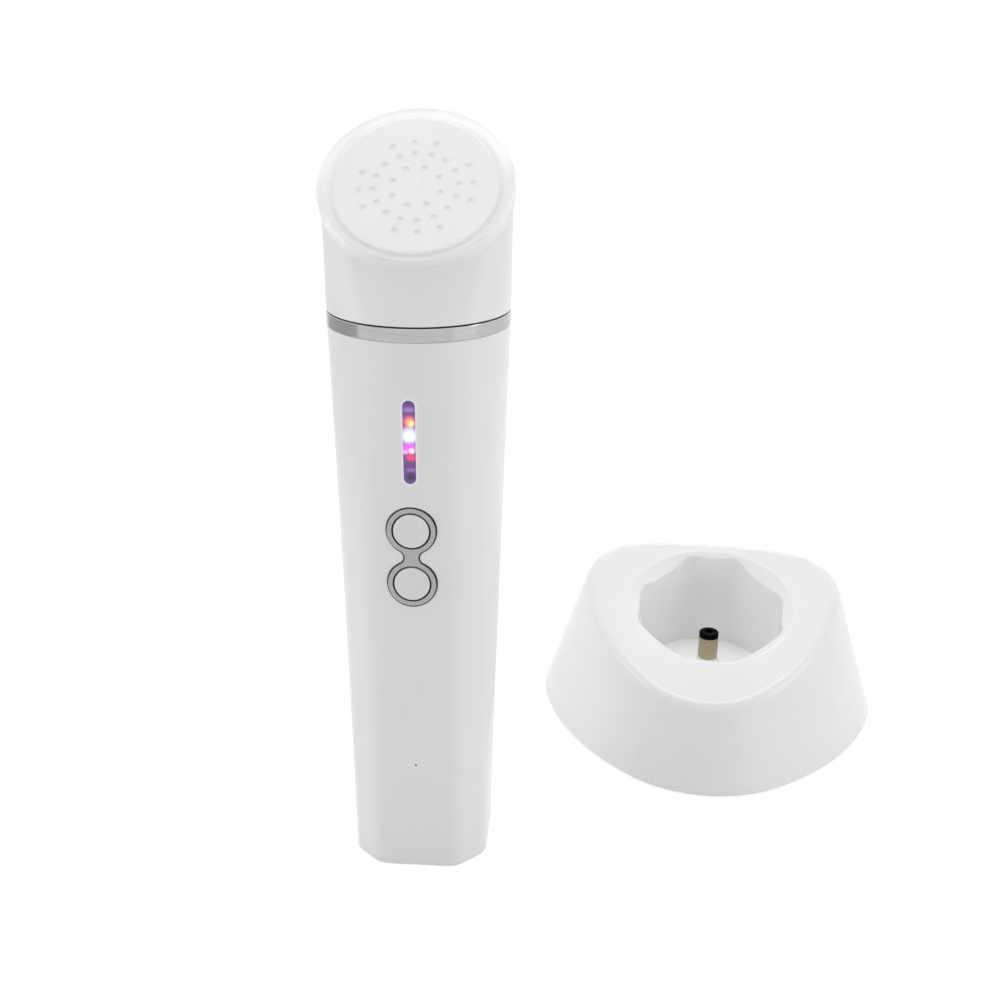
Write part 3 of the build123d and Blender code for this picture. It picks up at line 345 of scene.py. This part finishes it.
def card(name, corners, level):
    """A flat card that only reflections see."""
    piece = flat(name, corners)
    paint = Paint(name)
    light = paint.add("ShaderNodeEmission")
    paint.feed(light.inputs["Color"], WHITE)
    paint.feed(light.inputs["Strength"], level)
    paint.feed(paint.bared(), light.outputs[0])
    piece.data.materials.append(paint.material)
    piece.visible_camera = False
    piece.visible_diffuse = False
    piece.visible_transmission = False
    piece.visible_shadow = False


def upright(azimuth, width):
    """Corners of an upright card at a compass angle from the front, in degrees."""
    turn = math.radians(azimuth)
    middle = Vector((math.sin(turn), -math.cos(turn), 0.0)) * CARD_REACH
    side = Vector((math.cos(turn), math.sin(turn), 0.0)) * width / 2
    low = Vector((0.0, 0.0, CARD_FOOT))
    high = Vector((0.0, 0.0, CARD_HEIGHT))
    return [middle - side + low, middle + side + low,
            middle + side + high, middle - side + high]


def level_corners(across, along, height):
    """Corners of a level rectangle, from its spans along x and y."""
    return [(across[0], along[0], height), (across[1], along[0], height),
            (across[1], along[1], height), (across[0], along[1], height)]


card("grey_card", upright(azimuth=-106.0, width=0.36), level=0.62)
card("bright_card", upright(azimuth=64.0, width=0.14), level=1.25)
card("strip_card", level_corners(STRIP_X, STRIP_Y, STRIP_Z), level=4.0)

# Camera
cos_pitch, sin_pitch = math.cos(CAMERA_PITCH), math.sin(CAMERA_PITCH)
cos_yaw, sin_yaw = math.cos(CAMERA_YAW), math.sin(CAMERA_YAW)
cos_roll, sin_roll = math.cos(CAMERA_ROLL), math.sin(CAMERA_ROLL)
forward = Vector((sin_yaw * cos_pitch, cos_yaw * cos_pitch, -sin_pitch))
right = Vector((cos_yaw, -sin_yaw, 0.0))
up = right.cross(forward)
rolled_right = cos_roll * right + sin_roll * up
rolled_up = cos_roll * up - sin_roll * right
camera_data = bpy.data.cameras.new("camera")
camera_data.lens = CAMERA_LENS
camera_data.sensor_width = CAMERA_SENSOR
camera_data.clip_start = CAMERA_NEAR
camera_data.clip_end = CAMERA_FAR
camera = hang("camera", camera_data)
camera_turn = Matrix((rolled_right, rolled_up, -forward)).transposed().to_4x4()
camera.matrix_world = Matrix.Translation(CAMERA_AT) @ camera_turn
scene.camera = camera

# Floor: a plain tone for the light it gives back, white with the shadow where it is seen
floor_span = (-FLOOR_REACH, FLOOR_REACH)
floor = flat("floor", level_corners(floor_span, floor_span, 0.0))
floor_paint = Paint("floor")
floor_tones = []
for tone in (FLOOR_BOUNCE, FLOOR_SHADOW):
    diffuse = floor_paint.add("ShaderNodeBsdfDiffuse")
    floor_paint.feed(diffuse.inputs["Color"], (tone, tone, tone, 1.0))
    floor_tones.append(diffuse.outputs[0])
bounce, shade = floor_tones
glow = floor_paint.add("ShaderNodeEmission")
floor_paint.feed(glow.inputs["Strength"], FLOOR_GLOW)
white_floor = floor_paint.add("ShaderNodeAddShader")
floor_paint.feed(white_floor.inputs[0], shade)
floor_paint.feed(white_floor.inputs[1], glow.outputs[0])
floor_paint.split(bounce, white_floor.outputs[0], floor_paint.bared())
floor.data.materials.append(floor_paint.material)


def front_point(x, s):
    """A point of the handset's front, from its distance up it, in millimetres."""
    return Vector((
        x, FRONT_Y - s * math.sin(FRONT_LEAN), s * math.cos(FRONT_LEAN))) * MM


def lit_shell():
    """Body plastic with the light of the bar on the skin round it."""
    paint = moulded("shell_white", (239, 239, 239), (237, 237, 237), 0.34, 1400.0, 0.0015)
    place = paint.add("ShaderNodeSeparateXYZ")
    paint.feed(place.inputs[0], paint.coordinates())
    half_run = (BAR_LENGTH - BAR_WIDTH) / 2 * MM
    along = paint.maths("SUBTRACT", place.outputs["Z"], front_point(0.0, BAR_MIDDLE).z)
    along = paint.maths("SUBTRACT", paint.maths("ABSOLUTE", along), half_run)
    along = paint.maths("MAXIMUM", along, 0.0)
    away = paint.maths("SQRT", paint.maths(
        "ADD", paint.maths("POWER", along, 2.0),
        paint.maths("POWER", place.outputs["X"], 2.0)))
    fade = [distance * MM for distance in SPILL_FADE]
    depth = [distance * MM for distance in SPILL_DEPTH]
    spill = paint.ranged(away, fade, SPILL, 0.0, smooth=True)
    on_front = paint.ranged(place.outputs["Y"], depth, 1.0, 0.0)
    paint.join(
        Emission_Color=linear(SPILL_COLOUR),
        Emission_Strength=paint.maths("MULTIPLY", spill, on_front))
    paint.material.cycles.emission_sampling = "NONE"
    return paint


def bezel():
    """Metal with a painted dark reflection on its sides, which don't face the front."""
    paint = metal("bezel_metal", (172, 172, 172), (160, 160, 161), 0.33,
                  (500.0, 500.0, 3200.0), 0.002)
    leaning = paint.add("ShaderNodeVectorMath", operation="DOT_PRODUCT")
    geometry = paint.add("ShaderNodeNewGeometry")
    front = (0.0, -math.cos(FRONT_LEAN), -math.sin(FRONT_LEAN))
    paint.feed(leaning.inputs[0], geometry.outputs["True Normal"])
    paint.feed(leaning.inputs[1], front)
    # Painted dark reflection: faces that lean away from the front turn to a dark tone
    side = paint.ranged(leaning.outputs["Value"], BEZEL_REFLECTION_SPAN, 1.0, 0.0)
    paint.join(Base_Color=paint.mixed(side, paint.base_tone(), linear(BEZEL_PAINTED_REFLECTION_COLOUR)))
    return paint


def printed_board():
    """Board laminate: woven glass under lacquer."""
    paint = moulded("board_green", (28, 108, 62), (22, 92, 52), 0.32, 1500.0, 0.004)
    weave = paint.add("ShaderNodeTexBrick")
    paint.feed(weave.inputs["Vector"], paint.stretched(WEAVE_SCALE))
    for socket, grey in WEAVE_GREYS.items():
        paint.feed(weave.inputs[socket], (grey, grey, grey, 1.0))
    paint.feed(weave.inputs["Mortar Size"], WEAVE_GAP)
    paint.join(Base_Color=paint.mixed(
        1.0, paint.base_tone(), weave.outputs["Color"], "MULTIPLY"))
    return paint


def frosted():
    """Frosted clear plastic: milky, lets blurred shapes behind it through."""
    paint = Paint("cap_frosted")
    fine = paint.noise(CAP_FINE_SCALE, roughness=0.6)
    drift = paint.noise(CAP_DRIFT_SCALE, detail=2.0)
    share = paint.ranged(drift, DRIFT_SPAN, 0.0, 1.0)
    paint.join(
        Base_Color=paint.mixed(share, linear(CAP_COLOUR), linear(CAP_DARKER)),
        Roughness=paint.ranged(fine, FINE_SPAN, *CAP_ROUGH),
        Normal=paint.relief(fine, CAP_DEPTH),
        Transmission_Weight=CAP_CLEAR,
        IOR=CAP_BEND,
        Emission_Color=WHITE,
        Emission_Strength=CAP_GLOW)
    paint.material.cycles.emission_sampling = "NONE"
    return paint


# What shows in the lit bar: place across and up the front, width and height (millimetres),
# colour as it is seen, and its share in the middle
BAR_SPOTS = (
    (0.0, 117.3, 1.4, 0.7, (70, 50, 110), 1.0),
    (0.0, 115.9, 1.7, 0.8, (152, 112, 184), 1.0),
    (0.2, 114.6, 1.6, 0.8, (98, 56, 108), 1.0),
    (0.1, 113.2, 1.9, 1.9, (236, 96, 132), 1.0),
    (0.2, 113.0, 1.2, 1.5, (255, 176, 96), 1.0),
    (0.45, 112.8, 0.8, 1.0, (255, 246, 150), 1.0),
    (0.0, 111.4, 1.9, 1.0, (232, 172, 252), 1.0),
    (0.0, 110.0, 2.4, 2.3, (206, 226, 255), 1.0),
    (0.0, 110.0, 1.9, 1.9, (246, 254, 255), 1.0),
    (0.0, 107.5, 2.2, 1.5, (250, 100, 244), 1.0),
    (0.5, 106.75, 0.85, 0.9, (255, 236, 250), 1.0),
    (-0.85, 106.5, 0.8, 0.7, (255, 190, 255), 1.0),
    (0.3, 105.3, 1.5, 1.1, (246, 60, 118), 1.0),
    (0.3, 103.7, 1.6, 1.0, (96, 52, 108), 1.0),
    (0.3, 102.5, 1.6, 0.6, (150, 94, 170), 0.9),
    (0.2, 100.9, 1.4, 1.3, (30, 22, 50), 1.0),
)


def glowing_bar():
    """Violet lens over a row of lamps, some lit and the others dark."""
    paint = Paint("lens_glow")
    colour = linear(LENS_VIOLET)
    for x, s, wide, tall, tone, share in BAR_SPOTS:
        centre = front_point(x, s)
        scale_x, scale_z = 1.0 / (wide * MM), 1.0 / (tall * MM)
        shift = paint.add("ShaderNodeMapping")
        paint.feed(shift.inputs["Vector"], paint.coordinates())
        paint.feed(shift.inputs["Location"],
                   (-centre.x * scale_x, 0.0, -centre.z * scale_z))
        paint.feed(shift.inputs["Scale"], (scale_x, 0.0, scale_z))
        size = paint.add("ShaderNodeVectorMath", operation="LENGTH")
        paint.feed(size.inputs[0], shift.outputs[0])
        near = paint.ranged(size.outputs["Value"], SPOT_FADE, share, 0.0, smooth=True)
        colour = paint.mixed(near, colour, linear(tone))
    fine = paint.noise(LENS_SCALE)
    share = paint.ranged(fine, FINE_SPAN, 0.0, 1.0)
    paint.join(
        Emission_Color=colour,
        Emission_Strength=1.0,
        Base_Color=paint.mixed(share, *LENS_TONES),
        Roughness=paint.ranged(fine, FINE_SPAN, *LENS_ROUGH))
    paint.material.cycles.emission_sampling = "NONE"
    return paint


# Plastics, rubbers and ceramic: colour, darker colour, roughness, grain (per metre), grain
# depth (millimetres) and the nodes
MOULDED = {
    "head_white": ((238, 238, 238), (236, 236, 236), 0.33, 1400.0, 0.0015,
                   ("head_shell", "base_cap")),
    "dock_white": ((239, 239, 239), (237, 237, 236), 0.16, 1400.0, 0.0015,
                   ("dock_shell", "plug_holder")),
    "inner_white": ((226, 226, 222), (220, 220, 216), 0.5, 900.0, 0.008,
                    ("dock_base", "battery_tray")),
    "button_white": ((234, 234, 235), (230, 230, 232), 0.33, 1800.0, 0.003,
                     ("upper_button", "lower_button")),
    "tip_black": ((6, 5, 7), (4, 4, 5), 0.33, 2200.0, 0.003,
                  ("plug_tip", "charging_socket", "dock_inlet")),
    "switch_black": ((38, 38, 40), (28, 28, 30), 0.5, 1500.0, 0.006,
                     ("upper_switch", "lower_switch", "upper_plunger", "lower_plunger")),
    "chip_black": ((34, 34, 36), (24, 24, 26), 0.55, 2400.0, 0.008,
                   ("board_chips", "temperature_sensor")),
    "neck_grey": ((44, 44, 46), (34, 34, 36), 0.45, 1400.0, 0.0015, ("neck_frame",)),
    "foot_rubber": ((62, 62, 63), (50, 50, 51), 0.8, 1800.0, 0.02, ("dock_feet",)),
    "sleeve_rubber": ((52, 52, 54), (42, 42, 44), 0.85, 1800.0, 0.02, ("motor_sleeve",)),
    "seal_white": ((236, 236, 234), (228, 228, 226), 0.6, 1500.0, 0.008, ("face_seal",)),
    "pad_grey": ((170, 176, 184), (156, 162, 170), 0.75, 1600.0, 0.02, ("thermal_pads",)),
    "lead_black": ((28, 28, 29), (18, 18, 19), 0.5, 1800.0, 0.01,
                   ("socket_lead", "motor_lead", "lamp_lead", "dock_lead")),
    "lead_red": ((176, 34, 28), (150, 26, 22), 0.45, 1800.0, 0.01,
                 ("battery_lead", "module_lead")),
    "cell_wrap": ((56, 110, 170), (46, 98, 156), 0.33, 700.0, 0.006, ("battery_cell",)),
    "module_ceramic": ((240, 240, 236), (230, 230, 226), 0.45, 2200.0, 0.008,
                       ("thermoelectric_module",)),
    "lamp_clear": ((222, 224, 226), (206, 208, 212), 0.18, 1200.0, 0.002,
                   ("face_lamps", "indicator_lamps")),
    "plate_white": ((240, 240, 240), (237, 237, 237), 0.34, 2600.0, 0.002,
                    ("treatment_plate",)),
    "board_white": ((226, 228, 226), (216, 220, 216), 0.4, 1500.0, 0.006,
                    ("lamp_board",)),
}

# Settings that some of them have besides
EXTRAS = {
    "tip_black": {"Specular_IOR_Level": 0.02},
    "cell_wrap": {"Coat_Weight": 0.4, "Coat_Roughness": 0.12},
}

# Metals: colour, darker colour, roughness, stretch of the lines (per metre), depth of the
# scratches (millimetres) and the nodes
METALS = {
    "band_chrome": ((188, 188, 189), (176, 176, 177), 0.17, (120.0, 120.0, 2600.0), 0.002,
                    ("neck_band",)),
    "plug_nickel": ((192, 180, 150), (166, 154, 126), 0.33, (5000.0, 5000.0, 400.0), 0.004,
                    ("plug_sleeve", "battery_tabs")),
    "screw_steel": ((178, 178, 180), (150, 150, 152), 0.33, (900.0, 900.0, 900.0), 0.004,
                    ("base_screws", "board_screws", "head_screws", "sink_screws",
                     "dock_screws", "holder_screws")),
    "contact_brass": ((214, 182, 108), (190, 158, 90), 0.33, (1500.0, 1500.0, 500.0), 0.004,
                      ("socket_pin", "plug_contact", "inlet_pin")),
    "sink_aluminium": ((205, 206, 208), (190, 191, 194), 0.38, (700.0, 4000.0, 700.0),
                       0.004, ("heat_sink",)),
    "motor_steel": ((190, 190, 192), (165, 165, 168), 0.33, (600.0, 600.0, 3500.0), 0.004,
                    ("vibration_motor", "motor_shaft")),
    "weight_steel": ((140, 140, 142), (112, 112, 114), 0.45, (2500.0, 2500.0, 2500.0), 0.01,
                     ("eccentric_weight",)),
}

for name, (*values, names) in MOULDED.items():
    paint = moulded(name, *values)
    paint.join(**EXTRAS.get(name, {}))
    dress(paint, *names)
for name, (*values, names) in METALS.items():
    dress(metal(name, *values), *names)
dress(lit_shell(), "body_shell")
dress(bezel(), "button_bezel")
dress(printed_board(), "main_board")
dress(glowing_bar(), "indicator_lens")
dress(frosted(), "protective_cap")

# The face under the cap is lit as if the cap weren't there
nodes["protective_cap"].visible_shadow = False
nodes["protective_cap"].visible_diffuse = False
